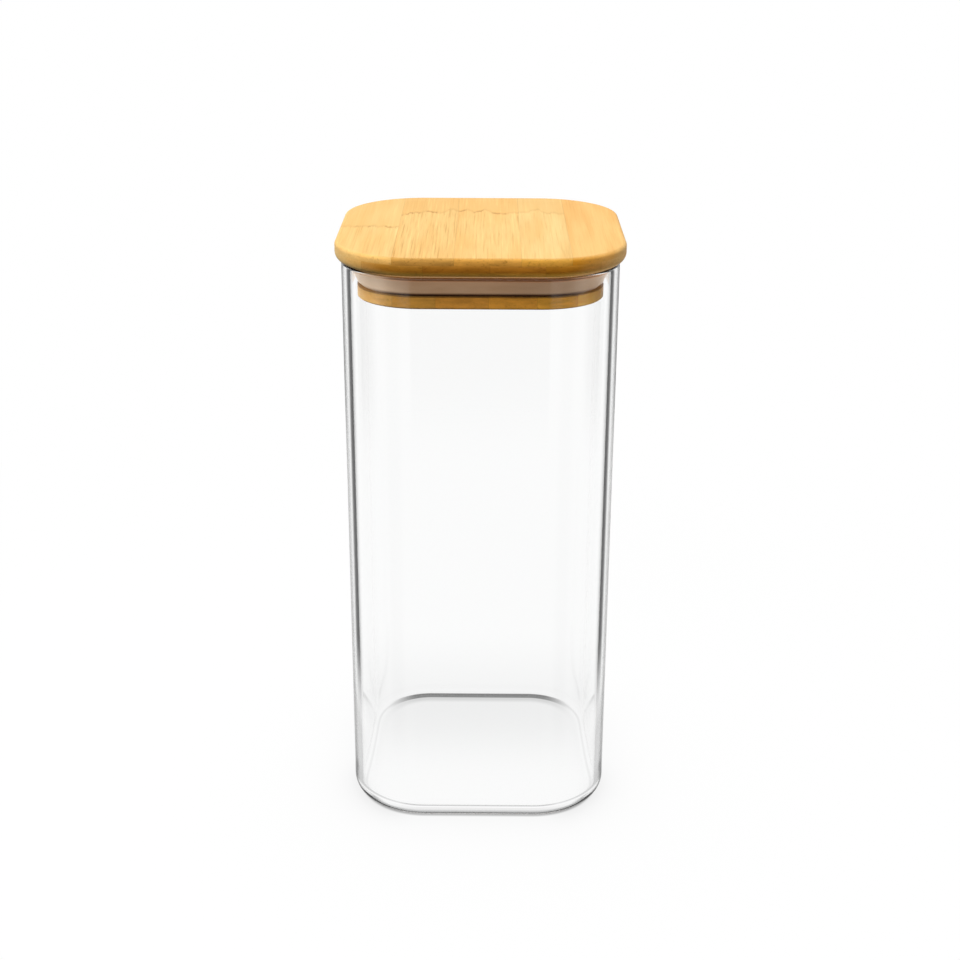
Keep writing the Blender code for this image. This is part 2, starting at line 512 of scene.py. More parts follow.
def edge_light(x, height, lower):
    """Painted light and shade on the board's edge: dimmer under its top round, lower down dimmer on the
    left and lighter on the right.
    """
    ridge = height.smooth(LID_TOP - 0.00001, LID_TOP - 0.00008)
    ridge = ridge * height.smooth(LID_TOP - 0.0013, LID_TOP - 0.0007)
    middle = 1 - abs(x).smooth(0.030, 0.044)
    left = x.smooth(-0.030, -0.038)
    right = x.smooth(0.0, 0.02)
    return (1 - ridge * middle * RIDGE_DIM) * (1 - lower * (left * LEFT_DIM - right * RIGHT_GAIN))


def plug_light(x, height, step):
    """Painted light on the plug below the groove's step: the seal's soft shade, a dark line at the top
    and more light on the corners.
    """
    soft = 1 - height.smooth(step - FLANGE_HEIGHT, step) * GROOVE_DIM
    line = 1 - height.smooth(step - GROOVE_LINE, step) * GROOVE_LINE_DIM
    return soft * line * (1 + abs(x).smooth(0.026, 0.044) * PLUG_CORNER_GAIN)


print("the seal's shade takes", GROOVE_DIM, "of the light, and its dark line", GROOVE_LINE_DIM)

# %% [markdown]
# ## One lath's wood
#
# Real laths differ, because each was split from another part of the cane. One material with a random
# number for each piece could do that. Here each lath gets a material of its own, with a seed that
# moves the noise and two tints, so that single laths can be matched to the real board. A hairline
# marks the glue along both of its long edges.

# %% Put the bamboo together
# the bounce is painted light: the board's lower right edge glows in this colour
BAMBOO_BOUNCE = (0.14, 0.10, 0.068, 1)  # light from the table on the board's lower right edge
GLUE_HALF_WIDTH = 0.00013
GLUE_DIM = 0.14
FIBRE_SHARE = 0.5
FINE_SHARE = 0.35
FIBRE_LIGHT = 0.12
CLOUD_LIGHT = 0.10
MOTTLE_LIGHT = 0.8
SHELTERED_WARMTH = 0.5
GRAIN_STRENGTH = 0.12
GRAIN_HEIGHT = 0.0002
WOOD_ROUGHNESS = 0.42
FIBRE_ROUGHNESS = 0.16
WOOD_GLOSS = 0.06
SEAT_SLACK = 0.0001


def bamboo(name, tint, end_tint, seed, low, high, knuckle, step, streaky):
    """Bamboo from x = low to x = high, glued along both, in its tint, with end_tint on its ends.

    knuckle is the y of its cane joint, or None. step is the height under which it lies in the
    seal's shade, or None. streaky says how strongly its fibres show.
    """
    material, graph = material_of(name)
    place = graph.place()
    x, y, height = graph.axes(place)
    ends = graph.node("ShaderNodeAttribute", {"attribute_name": "end_grain"}, None, "Fac")

    bands = graph.noise(place, BAND_SCALE, (seed, seed, seed))
    fibres = graph.noise(place, FIBRE_SCALE, (seed, 2 * seed, seed), 3.0)
    fine = graph.noise(place, FINE_SCALE, (3 * seed, seed, seed))
    clouds = graph.noise(place, CLOUD_SCALE, (seed, 3 * seed, 0))
    mottle = graph.noise(place, MOTTLE_SCALE, (seed, 0, 2 * seed), 3.0)
    colour = graph.mixed(bands.smooth(0.35, 0.68), BAMBOO_PALE, BAMBOO_WARM)
    streaks = (fibres.smooth(0.52, 0.74) * FIBRE_SHARE + fine.smooth(0.50, 0.75) * FINE_SHARE) * streaky
    light = fibres.smooth(0.45, 0.28) * FIBRE_LIGHT * streaky + 1.0
    if knuckle is not None:
        away = from_knuckle(graph, place, y, knuckle, seed)
        beyond, scar, change = knuckle_marks(graph, place, away, seed)
        colour = graph.mixed(beyond * SHELTERED_WARMTH, colour, BAMBOO_WARM)
        streaks = streaks * (1 - beyond * SHELTERED_STREAKS) + scar
        light = light + change
    light = light + (clouds - NOISE_MEAN) * CLOUD_LIGHT
    colour = graph.mixed(streaks, colour, BAMBOO_DARK)

    on_board = height.over(LID_SEAT - SEAT_SLACK)
    lower = height.smooth(LID_SEAT + 0.0024, LID_SEAT + 0.0003) * on_board
    colour = graph.mixed(ends, colour, cut_end_colour(graph, place, height, lower, end_tint, seed))
    light = (light + ends * (mottle - NOISE_MEAN) * MOTTLE_LIGHT) * edge_light(x, height, lower)
    glue = (x - low).bump(GLUE_HALF_WIDTH) + (x - high).bump(GLUE_HALF_WIDTH)
    light = light * (1 - glue * GLUE_DIM)
    if step is not None:
        light = light * plug_light(x, height, step)
    colour = graph.lit(graph.tinted(colour, tint), light)

    # painted bounce light: a glow on the board's lower right edge
    lowest = height.smooth(LID_SEAT + 0.0016, LID_SEAT + 0.0002) * on_board
    bounced = graph.mixed(lowest * x.smooth(0.028, 0.042), BLACK, BAMBOO_BOUNCE)
    grain = {"Strength": GRAIN_STRENGTH, "Distance": GRAIN_HEIGHT, "Height": fibres}
    wood = principled(
        graph,
        Base_Color=colour,
        Roughness=WOOD_ROUGHNESS + fibres * FIBRE_ROUGHNESS,
        Normal=graph.node("ShaderNodeBump", None, grain),
        Specular_IOR_Level=WOOD_GLOSS,
        Emission_Color=bounced,
        Emission_Strength=1.0,
    )
    surface(graph, wood)
    return material


print("bamboo is ready for", sum("lath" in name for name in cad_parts), "laths")

# %% [markdown]
# ## Laths
#
# The board has two layers of laths, and the plug under it is a third. A lath could be cut out of its
# layer with a boolean, which leaves long thin faces along the cuts. But a lath is what lies of a
# rounded square between two upright planes, so its outline can be worked out at every height. Its
# side is a stack of such loops along the layer's edge profile, and a grid closes its top and its
# underside.

# %% Cut a rounded square by two planes
ACROSS_STEPS = 28
ALONG_STEPS = 14


def side_reach(x, half, flat):
    """How far a rounded square reaches along Y: flat + sqrt(r^2 - (|x| - flat)^2), r = half - flat."""
    over = np.clip(np.abs(x) - flat, 0, half - flat)
    return flat + np.sqrt(np.maximum((half - flat) ** 2 - over**2, 0))


def across(low, high, half):
    """Shares of the way from the low plane to the high plane, crowded towards a rounded outer end."""
    turn = np.linspace(0, 1, ACROSS_STEPS + 1)
    if low <= -half:
        return 1 - np.cos(turn * math.pi / 2)
    if high >= half:
        return np.sin(turn * math.pi / 2)
    return turn


def lath_points(profile, flat, low, high, widest):
    """Loops front, right, back, left for each (half width, height), and a grid for each end."""
    share = across(low, high, widest)
    along = np.linspace(-1, 1, ALONG_STEPS + 1)
    loops = []
    for half, height in profile:
        start, end = max(low, -half), min(high, half)
        x = start + (end - start) * share
        reach = side_reach(x, half, flat)
        right = np.column_stack([np.full(ALONG_STEPS - 1, end), reach[-1] * along[1:-1]])
        left = np.column_stack([np.full(ALONG_STEPS - 1, start), reach[0] * along[-2:0:-1]])
        front = np.column_stack([x, -reach])
        rear = np.column_stack([x, reach])[::-1]
        loop = np.vstack([front, right, rear, left])
        loops.append(np.column_stack([loop, np.full(len(loop), height)]))
    caps = []
    for half, height in (profile[0], profile[-1]):
        start, end = max(low, -half), min(high, half)
        x = start + (end - start) * share
        y = along[:, None] * side_reach(x, half, flat)
        caps.append(np.stack([np.broadcast_to(x, y.shape), y, np.full(y.shape, height)], -1))
    return np.array(loops), caps


print("each lath has", 2 * (ACROSS_STEPS + ALONG_STEPS), "points round it")

# %% Find the cut ends
TOP_ROUND = 0.0014
UNDER_ROUND = 0.0033
PLUG_EASE = 0.0005
EDGE_ROUNDS = {"top": TOP_ROUND, "under": UNDER_ROUND, "plug": PLUG_EASE}
END_GAIN = 1.4
END_CUT = 0.2
TINY = 1e-9


def end_grain(places, half, flat, radius):
    """1 where a rounded square layer faces front or back, 0 where it faces up, down or sideways.

    It is the square of the outward direction's part along Y, times its level part.
    """
    outward = np.maximum(np.abs(places[:, :2]) - flat, 0)
    reach = np.hypot(outward[:, 0], outward[:, 1])
    along = outward[:, 1] / np.maximum(reach, TINY)
    level = np.clip((reach + flat - half + radius) / radius, 0, 1)
    return np.clip(along**2 * level * END_GAIN - END_CUT, 0, 1)


print("rounds of the layers' edges", EDGE_ROUNDS)

# %% Tint the laths one by one
LAYER_SEEDS = {"top": 3.7, "under": 11.3, "plug": 23.1}
SEED_STEP = 5.3
LATH_TINTS = {
    "top": (
        (0.96, 1.01, 1.02), (0.93, 0.92, 0.86), (0.96, 0.96, 0.92),
        (0.95, 1.00, 1.02), (0.95, 0.90, 0.80),
    ),
    "under": (
        (0.95, 1.00, 1.00), (1.04, 1.04, 1.00), (0.93, 0.91, 0.85),
        (1.02, 1.00, 0.95), (0.96, 0.97, 1.00), (1.00, 1.00, 1.00),
    ),
    # the plug's tints are raised to make up for the dim light under the board: painted light
    "plug": (
        (1.10, 1.12, 1.30), (1.12, 1.12, 1.20), (1.04, 1.00, 0.95),
        (1.14, 1.12, 1.10), (1.04, 0.98, 0.90), (1.10, 1.08, 1.10),
    ),
}
END_TINTS = {
    "top": (
        (1.20, 1.35, 1.90), (0.86, 0.90, 1.00), (1.00, 1.00, 0.95),
        (1.05, 1.02, 0.75), (1.00, 0.93, 0.45),
    ),
    "under": (
        (1.40, 1.55, 2.20), (0.90, 0.95, 1.00), (1.00, 1.00, 1.00),
        (1.00, 1.00, 1.00), (1.05, 1.03, 0.75), (1.10, 1.05, 0.80),
    ),
    # the plug's end tints are raised and bluer to make up for the dim, warm light under the seal:
    # painted light
    "plug": (
        (1.45, 1.95, 3.70), (1.38, 1.75, 3.00), (1.62, 1.95, 3.40),
        (1.60, 1.90, 2.75), (1.85, 2.45, 3.60), (2.50, 3.40, 5.00),
    ),
}
print("tints for", {layer: len(tints) for layer, tints in LATH_TINTS.items()}, "laths")

# %% Make one lath
GROOVE_FLOOR = PLUG_BOTTOM + FLANGE_HEIGHT
NO_GLUE = 1.0  # a plane that no lath reaches
OUTER_SHARE = 0.999  # a plane further out than this share of the layer is its rounded edge
LATH_SHARP = 30


def lath(layer, number, profile, flat, knuckle=None, streaky=0.8):
    """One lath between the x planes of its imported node, in its own bamboo."""
    node = f"{layer}_lath_{number}"
    low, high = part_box(node)[0].x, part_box(node)[1].x
    widest = profile[:, 0].max()
    loops, caps = lath_points(profile, flat, low, high, widest)
    points = np.vstack([loops.reshape(-1, 3), caps[0].reshape(-1, 3), caps[1].reshape(-1, 3)])
    wall = quads(*loops.shape[:2])
    rows, columns = caps[0].shape[:2]
    floor = quads(rows, columns, wrap_columns=False, start=loops.shape[0] * loops.shape[1])
    roof = floor + rows * columns
    faces = np.vstack([wall, floor[:, ::-1], roof])
    seed = LAYER_SEEDS[layer] + SEED_STEP * number
    glue_low = low if low > -widest * OUTER_SHARE else -NO_GLUE
    glue_high = high if high < widest * OUTER_SHARE else NO_GLUE
    step = GROOVE_FLOOR if layer == "plug" else None
    tint = LATH_TINTS[layer][number - 1]
    end_tint = END_TINTS[layer][number - 1]
    kind = f"bamboo_{layer}_{number}"
    wood = bamboo(kind, tint, end_tint, seed, glue_low, glue_high, knuckle, step, streaky)
    name = f"{layer}_bamboo_{number}"
    made = piece(name, points, faces, "lid", [node], [wood], LATH_SHARP)
    attribute = made.data.attributes.new("end_grain", "FLOAT", "POINT")
    places = np.array([vertex.co for vertex in made.data.vertices])
    attribute.data.foreach_set("value", end_grain(places, widest, flat, EDGE_ROUNDS[layer]))
    return made


print("a lath's edges are sharp above", LATH_SHARP, "degrees")

# %% Draw the edge of each layer
ROUND_STEPS = 10
LID_CORNER = 0.030
GROOVE_DEPTH = 0.003
BOARD_FLAT = BOARD_HALF - LID_CORNER
NECK_HALF = PLUG_HALF - GROOVE_DEPTH
under_profile = np.vstack([
    arc(BOARD_HALF - UNDER_ROUND, LID_SEAT + UNDER_ROUND, UNDER_ROUND, -90, 0, ROUND_STEPS),
    [(BOARD_HALF, PLY_PLANE)],
])
top_profile = np.vstack([
    [(BOARD_HALF, PLY_PLANE)],
    arc(BOARD_HALF - TOP_ROUND, LID_TOP - TOP_ROUND, TOP_ROUND, 0, 90, ROUND_STEPS),
])
plug_profile = np.array([
    (PLUG_HALF - PLUG_EASE, PLUG_BOTTOM),
    (PLUG_HALF, PLUG_BOTTOM + PLUG_EASE),
    (PLUG_HALF, GROOVE_FLOOR),
    (NECK_HALF, GROOVE_FLOOR),
    (NECK_HALF, LID_SEAT),
])
print("edge points", len(top_profile), len(under_profile), len(plug_profile))

# %% Make all the laths
TOP_KNUCKLES = (-0.003, 0.0225, 0.0228, 0.0226, None)
TOP_STREAKS = (0.6, 1.1, 0.9, 0.6, 0.4)
laths = [
    lath("top", i + 1, top_profile, BOARD_FLAT, TOP_KNUCKLES[i], TOP_STREAKS[i])
    for i in range(len(LATH_TINTS["top"]))
]
laths += [lath("under", i + 1, under_profile, BOARD_FLAT) for i in range(len(LATH_TINTS["under"]))]
laths += [lath("plug", i + 1, plug_profile, GLASS_FLAT) for i in range(len(LATH_TINTS["plug"]))]
print(len(laths), "laths with", sum(len(made.data.polygons) for made in laths), "faces")

# %% [markdown]
# ## Glass
#
# Blown glass bends and mirrors the light, with a trace of green. A mix of a mirror and a see-through
# shader could stand for it, but then nothing behind it would bend. Here the Principled shader bends
# the light, and only a lamp's shadow rays pass straight through, so that the lid's plug and the
# table inside the jar are lit.
#
# Where the outer face turns away from the eye, a thick wall draws a dark outline. Real light would
# find it after many bounces. Here the outline is painted: a dark tint by the angle of the face
# gives the same line at once.

# %% Find the outer face of the jar
WALL = 0.003
FLOOR = 0.0034
FOOT_ROUND = 0.0054


def reach_of(graph, place):
    """How far a place lies outwards: flat + sqrt(max(|x| - flat, 0)^2 + max(|y| - flat, 0)^2)."""
    x, y, _ = graph.axes(place)
    over_x = (abs(x) - GLASS_FLAT).most(0.0)
    over_y = (abs(y) - GLASS_FLAT).most(0.0)
    return (over_x * over_x + over_y * over_y).maths("SQRT") + GLASS_FLAT


print("the outer face lies", GLASS_HALF, "out and the bore", GLASS_HALF - WALL)

# %% Draw the outline
OUTLINE_FADE = 0.35  # how much weaker the outline is high up
OUTLINE_FADE_HEIGHT = 0.12
FOOT_WIDENING = 0.22
FOOT_FADE = 0.2


def outline_strength(graph, place, x, height):
    """How strongly the painted outline is drawn, by the angle of the face to the eye."""
    foot = height.smooth(FOOT_ROUND * 1.1, FOOT_ROUND * 0.8) * abs(x).smooth(0.028, 0.042)
    facing = graph.node("ShaderNodeLayerWeight", None, {"Blend": 0.5}, "Facing")
    grazing = (facing + foot * FOOT_WIDENING).smooth(0.70, 0.84)
    on_outer_face = reach_of(graph, place).over(GLASS_HALF - WALL / 2)
    on_underside = 1 - height.over(FLOOR / 2)
    fade = 1 - height.smooth(0.0, OUTLINE_FADE_HEIGHT) * OUTLINE_FADE
    return grazing * on_outer_face.most(on_underside) * fade * (1 - foot * FOOT_FADE)


print("the outline fades by", OUTLINE_FADE, "up to a height of", OUTLINE_FADE_HEIGHT)

# %% [markdown]
# ## Glass of the rim
#
# The polished rim gathers the brown of the wood while the lid lies on it, and is a pale grey once
# the lid is off. Both are painted: a glow on the rim's flat stands for its light line, and a dark
# brown tint on its edge is painted shade. A brown rim would be wrong with the lid lifted. Ambient
# Occlusion measures what is near a surface, so it tells here how close the lid is. It takes time
# to render, and so the rim has a glass material of its own.

# %% Colour the rim
NEARNESS_SAMPLES = 8
LID_NEAR = 0.003
# painted light: the rim's flat glows brown under the lid and pale grey without it
RIM_GLOW = (0.33, 0.18, 0.065, 1)  # the wood's light, gathered by the flat of the rim
RIM_BARE = (0.22, 0.235, 0.23, 1)
# painted shade on the rim's edge under a closed lid
RIM_EDGE_PAINTED_SHADE = (0.22, 0.12, 0.04, 1)


def nearness(graph, distance):
    """The share of a surface's outer side that has something within this distance."""
    behind = graph.node("ShaderNodeNewGeometry", None, None, "Backfacing")
    kind, length = "ShaderNodeAmbientOcclusion", {"Distance": distance}
    front = graph.node(kind, {"samples": NEARNESS_SAMPLES}, length, "AO")
    back = graph.node(kind, {"samples": NEARNESS_SAMPLES, "inside": True}, length, "AO")
    return 1 - (front + (back - front) * behind)


def rim_colours(graph, x, height, tint):
    """The rim's painted shade and painted glow, which take up the wood's colour under a closed lid."""
    closed = nearness(graph, LID_NEAR).smooth(0.05, 0.35)
    flat = height.smooth(RIM_HEIGHT - 0.00002, RIM_HEIGHT - 0.000005)
    edge = height.smooth(RIM_HEIGHT - 0.0006, RIM_HEIGHT - 0.0003) * (1 - flat)
    tint = graph.mixed(edge * x.smooth(0.047, 0.036) * closed, tint, RIM_EDGE_PAINTED_SHADE)
    glow = graph.mixed(flat, BLACK, graph.mixed(closed, RIM_BARE, RIM_GLOW))
    return tint, glow


print("the rim looks for the lid within", LID_NEAR, "metres")

# %% [markdown]
# ## Three kinds of glass
#
# The walls, the rim and the underside share one shader. The underside is so close to the table that
# light passes between the two almost unbent, so it has a lower index than the walls.

# %% Make the glass materials
GLASS_IOR = 1.47
UNDERSIDE_IOR = 1.05
MIRROR_TINT = (0.4, 0.4, 0.4, 1)  # how strongly clear glass mirrors what is square in front of it
TINT_LOW = (0.996, 0.998, 0.997, 1)
TINT_HIGH = (0.999, 1.0, 1.0, 1)
TINT_SCALE = (20, 20, 20)
# the colour of the painted dark outline
OUTLINE_TINT = (0.06, 0.06, 0.06, 1)


def glass_material(name, ior, rim=False):
    """Clear glass with a trace of green, that lets shadow rays through."""
    material, graph = material_of(name)
    place = graph.place()
    x, _, height = graph.axes(place)
    cloud = graph.noise(place, TINT_SCALE)
    tint = graph.mixed(cloud, TINT_LOW, TINT_HIGH)
    glow = BLACK
    if rim:
        tint, glow = rim_colours(graph, x, height, tint)
    clear = principled(
        graph,
        Base_Color=graph.mixed(outline_strength(graph, place, x, height), tint, OUTLINE_TINT),
        Roughness=0.0,
        IOR=ior,
        Transmission_Weight=1.0,
        Specular_Tint=MIRROR_TINT,
        Emission_Color=glow,
        Emission_Strength=1.0,
    )
    through = graph.node("ShaderNodeBsdfTransparent")
    shade = graph.path("Is Shadow Ray")
    surface(graph, graph.node("ShaderNodeMixShader", None, {0: shade, 1: clear, 2: through}))
    return material


glass = glass_material("clear_glass", GLASS_IOR)
underside = glass_material("glass_on_table", UNDERSIDE_IOR)
rim_glass = glass_material("glass_of_rim", GLASS_IOR, rim=True)
print("made", glass.name + ",", underside.name, "and", rim_glass.name)

# %% [markdown]
# ## The jar's body
#
# The body is one blown piece of even thickness. Two boxes and a boolean could make it, but glass
# shows every flaw of such a mesh. Here one run of rings goes along the underside, round the foot, up
# the wall, over the polished rim, down the bore and across the floor, and fans of smaller rings
# close both middles. The middle of the underside is pushed up, as blown glass is, so that the jar
# stands on a ring.

# %% Draw the section of the glass
FLOOR_ROUND = 0.003
RIM_ROUND = 0.0008
FOOT_BAND = 0.006
PUSH_UP = 0.0005
PUSH_UP_SLOPE = 0.008
BORE_HALF = GLASS_HALF - WALL
FOOT_STEPS = 16
RIM_STEPS = 12
WALL_STEPS = 24
SLOPE_STEPS = 12
BAND_STEPS = 4


def jar_profile():
    """The section of the glass as (half width, height), from the underside's middle to the floor's."""
    band = GLASS_HALF - FOOT_ROUND - FOOT_BAND
    share = np.arange(SLOPE_STEPS + 1) / SLOPE_STEPS
    push_up = PUSH_UP * (1 + np.cos(np.pi * share)) / 2
    slope = np.column_stack([band - PUSH_UP_SLOPE * (1 - share), push_up])
    foot = arc(GLASS_HALF - FOOT_ROUND, FOOT_ROUND, FOOT_ROUND, -90, 0, FOOT_STEPS)
    outer_rim = arc(GLASS_HALF - RIM_ROUND, RIM_HEIGHT - RIM_ROUND, RIM_ROUND, 0, 90, RIM_STEPS)
    inner_rim = arc(BORE_HALF + RIM_ROUND, RIM_HEIGHT - RIM_ROUND, RIM_ROUND, 90, 180, RIM_STEPS)
    rim = np.vstack([outer_rim, run(outer_rim[-1], inner_rim[0], BAND_STEPS), inner_rim])
    floor = arc(BORE_HALF - FLOOR_ROUND, FLOOR + FLOOR_ROUND, FLOOR_ROUND, 0, -90, FOOT_STEPS)
    stand = run(slope[-1], foot[0], BAND_STEPS)
    wall = run(foot[-1], rim[0], WALL_STEPS)
    bore = run(rim[-1], floor[0], WALL_STEPS)
    return np.vstack([slope, stand, foot, wall, rim, bore, floor])


print("the section of the glass has", len(jar_profile()), "points")

# %% Turn the section into the jar
CORNER_STEPS = 32
SIDE_STEPS = 10
FAN_STEPS = 6
NEAR_EDGE = 0.985  # the first ring of a fan, as a share of the ring round it
LOOKS_DOWN = -0.5  # a face looks down where the z of its outward direction is under this
UNDERSIDE_TOP = PUSH_UP * 1.01


def jar_body():
    """Rings (flat * side + (half - flat) * direction, height) for each point of the section."""
    section = jar_profile()
    fan = np.linspace(0, 1, FAN_STEPS + 1)[:-1]
    fan[-1] = NEAR_EDGE
    low = np.tile(section[0], (FAN_STEPS, 1))
    high = np.tile(section[-1], (FAN_STEPS, 1))
    profile = np.vstack([low, section, high])
    shrink = np.concatenate([fan, np.ones(len(section)), fan[::-1]])
    points = rounded_rings(profile, GLASS_FLAT, shrink, loop_directions(CORNER_STEPS, SIDE_STEPS))
    faces = quads(*points.shape[:2])
    kinds = [glass, underside, rim_glass]
    body = piece("jar_glass", points, faces, "jar", ["glass_body"], kinds)
    middles = np.array([face.center for face in body.data.polygons])
    facing_down = np.array([face.normal.z < LOOKS_DOWN for face in body.data.polygons])
    low_faces = (middles[:, 2] < UNDERSIDE_TOP) & facing_down
    rim_faces = middles[:, 2] > RIM_HEIGHT - RIM_ROUND
    body.data.polygons.foreach_set("material_index", (low_faces + 2 * rim_faces).astype(np.int32))
    return body


jar = jar_body()
print(jar.name, len(jar.data.polygons), "faces")

# %% [markdown]
# ## Milky rubber
#
# The seal is a milky silicone, so light spreads inside it and its shade is never black. Subsurface
# scattering could do that, but in so thin a lip it is slow and full of grain. A weak painted glow
# stands for the light inside, lighter on the corners and dimmer on the right, and it fades where
# the seal's foot meets the plug and along the top of its lip. There painted shade darkens the rubber.

# %% Mix the rubber
LIP_DROP = 0.0016
SEAL_FOOT_RISE = 0.0012
LIP_TOP = RIM_HEIGHT - LIP_DROP
MILK_DARK = (0.58, 0.40, 0.26, 1)
MILK_PALE = (0.66, 0.48, 0.33, 1)
MILK_SCALE = (60, 60, 240)
# painted shade in the undercut at the seal's foot
UNDERCUT_PAINTED_SHADE = (0.10, 0.035, 0.008, 1)
LIP_SHADE_TINT = (0.16, 0.06, 0.012, 1)
# a painted glow for the light inside the rubber, lighter on the corners
INNER_LOW = (0.110, 0.058, 0.026, 1)
INNER_HIGH = (0.190, 0.105, 0.055, 1)
INNER_CORNER = (0.34, 0.27, 0.20, 1)
# painted shade on the seal's right side
RIGHT_DIM = 0.22
LIP_SHADE = 0.7
UNDERCUT_FADE = 0.75
RIGHT_CORNER_SHARE = 0.5
LOOKS_UP = 0.2  # a face looks up where the z of its outward direction is over this
RUBBER_ROUGHNESS = 0.32
CLOUD_ROUGHNESS = 0.08
RUBBER_GLOSS = 0.15


def milky_silicone():
    """Milky rubber with painted shade where its foot meets the plug and along the top of its lip, and a
    painted glow.
    """
    material, graph = material_of("milky_silicone")
    place = graph.place()
    x, _, height = graph.axes(place)
    above_foot = height - seal_low.z
    cloud = graph.noise(place, MILK_SCALE)
    milk = graph.mixed(cloud.smooth(0.3, 0.7), MILK_DARK, MILK_PALE)
    undercut = above_foot.smooth(SEAL_FOOT_RISE * 1.2, SEAL_FOOT_RISE * 0.1)
    undercut = undercut * (1 - abs(x).smooth(0.027, 0.041) * UNDERCUT_FADE)
    outward = graph.node("ShaderNodeNewGeometry", None, None, "True Normal")
    faces_up = graph.axes(outward)[2].over(LOOKS_UP)
    lip_edge = height.smooth(LIP_TOP - 0.00025, LIP_TOP - 0.00015)
    lip_edge = lip_edge * height.smooth(LIP_TOP + 0.00010, LIP_TOP + 0.00002)
    in_front = x.smooth(-0.040, -0.028) * x.smooth(0.046, 0.040)
    lip_shade = faces_up * lip_edge * in_front * LIP_SHADE
    milk = graph.mixed(undercut, milk, UNDERCUT_PAINTED_SHADE)
    milk = graph.mixed(lip_shade, milk, LIP_SHADE_TINT)

    # the painted glow, lighter on the corners and dimmer on the right
    upper = above_foot.smooth(SEAL_FOOT_RISE, SEAL_FOOT_RISE * 5)
    inner_light = graph.mixed(upper, INNER_LOW, INNER_HIGH)
    right_side = x.smooth(0.0, 0.02) * x.smooth(0.044, 0.030)
    inner_light = graph.mixed(right_side * RIGHT_DIM, inner_light, BLACK)
    corner = x.smooth(-0.022, -0.042) + x.smooth(0.026, 0.046) * RIGHT_CORNER_SHARE
    inner_light = graph.mixed(corner, inner_light, INNER_CORNER)
    inner_light = graph.mixed(undercut.most(lip_shade), inner_light, BLACK)
    rubber = principled(
        graph,
        Base_Color=milk,
        Roughness=RUBBER_ROUGHNESS + cloud * CLOUD_ROUGHNESS,
        Specular_IOR_Level=RUBBER_GLOSS,
        Emission_Color=inner_light,
        Emission_Strength=1.0,
    )
    surface(graph, rubber)
    return material


print("the rubber runs from", MILK_DARK[:3], "to", MILK_PALE[:3])

# %% [markdown]
# ## Seal
#
# The seal is one ring: a band round the plug's neck, and a thin lip that flares up and out to the
# glass. Its section could be a curve with a bevel, but a bevel turns round the corners at one
# radius. Rings of the section keep the corner centres of the glass, so the lip stays as far from
# the bore in the corners as along the sides.

# %% Draw the seal's section
SEAL_STEPS = 10
LIP_THICKNESS = 0.0007
BAND_THICKNESS = 0.0014
LIP_BOW = 0.0003


def lip_face(foot, tip):
    """Points from foot to tip, hollowed in by 4 * bow * t * (1 - t)."""
    share = np.linspace(0, 1, SEAL_STEPS + 1)[:, None]
    line = np.array(foot) + (np.array(tip) - np.array(foot)) * share
    line[:, :1] -= 4 * LIP_BOW * share * (1 - share)
    return line


def seal_profile():
    """The seal's section, round from the band's foot, up the lip, back down and up the band."""
    inside = NECK_HALF + (seal_low.z - GROOVE_FLOOR)
    outside = inside + BAND_THICKNESS
    bottom, top = seal_low.z, seal_high.z
    tip = seal_high.x
    outer = lip_face((PLUG_HALF, bottom + SEAL_FOOT_RISE), (tip, LIP_TOP - LIP_THICKNESS / 2))
    inner_foot = (outside, bottom + SEAL_FOOT_RISE + LIP_THICKNESS)
    inner = lip_face(inner_foot, (tip - LIP_THICKNESS, LIP_TOP))
    return np.vstack([
        [(inside, bottom), (PLUG_HALF - SEAL_FOOT_RISE, bottom)],
        outer,
        inner[::-1],
        [(outside, top), (inside, top)],
    ])


print("the seal's section has", len(seal_profile()), "points")

# %% Make the seal
SEAL_CORNER_STEPS = 24
SEAL_SIDE_STEPS = 8
SEAL_SHARP = 30


def lid_seal():
    """Rings (flat * side + (half - flat) * direction, height) for each point of the section."""
    section = seal_profile()
    loop = loop_directions(SEAL_CORNER_STEPS, SEAL_SIDE_STEPS)
    rings = rounded_rings(section, GLASS_FLAT, np.ones(len(section)), loop)
    faces = quads(*rings.shape[:2], wrap_rows=True)
    materials = [milky_silicone()]
    return piece(
        "lid_seal", rings, faces, "lid", ["silicone_seal"], materials, SEAL_SHARP
    )


seal = lid_seal()
print(seal.name, len(seal.data.polygons), "faces")

# %% [markdown]
# ## Table
#
# The jar stands on white paper. A plain white surface would need so much light that the wood turned
# pale. The table glows instead for rays that see it, with a share of real shading near the jar that
# keeps the shadow. Light that scatters off the wood and the seal sees a darker table, so that their
# undersides stay dark.
#
# The foot's glass draws lines on the table that take very many samples to find. So the shades are
# painted on the table for each kind of ray: grey lines and a shaded floor for rays that passed
# through the glass, a blurred ring for rays that the glass mirrored, and the contact shadow for
# straight rays.

# %% Draw the lines of the foot
RING_REAR = 0.74
RING_SIDE = 0.12
RING_BAND = 0.22


def foot_lines(x, y, reach):
    """The painted grey lines that stand for what the foot ring draws: strong and banded in the rear,
    faint elsewhere.
    """
    rear = y.smooth(0.0, 0.03) * abs(x).smooth(0.044, 0.028)
    rear_line = reach.smooth(0.0445, 0.0454) * reach.smooth(0.0506, 0.0494) * rear * RING_REAR
    rear_band = reach.smooth(0.0400, 0.0440) * reach.smooth(0.0456, 0.0446) * rear * RING_BAND
    side_line = reach.smooth(0.0455, 0.0465) * reach.smooth(0.0490, 0.0475) * (1 - rear)
    return rear_line + rear_band + side_line * RING_SIDE


print("the foot's rear line takes", RING_REAR, "of the light")

# %% Shade the floor inside the jar
INNER_SHADE = 0.06
REAR_SHADE = 0.03
FLOOR_SHADE = 0.055
FLOOR_FRONT = 0.3  # the share of the floor's shade that is left in front
FOOT_SHADE = 0.33


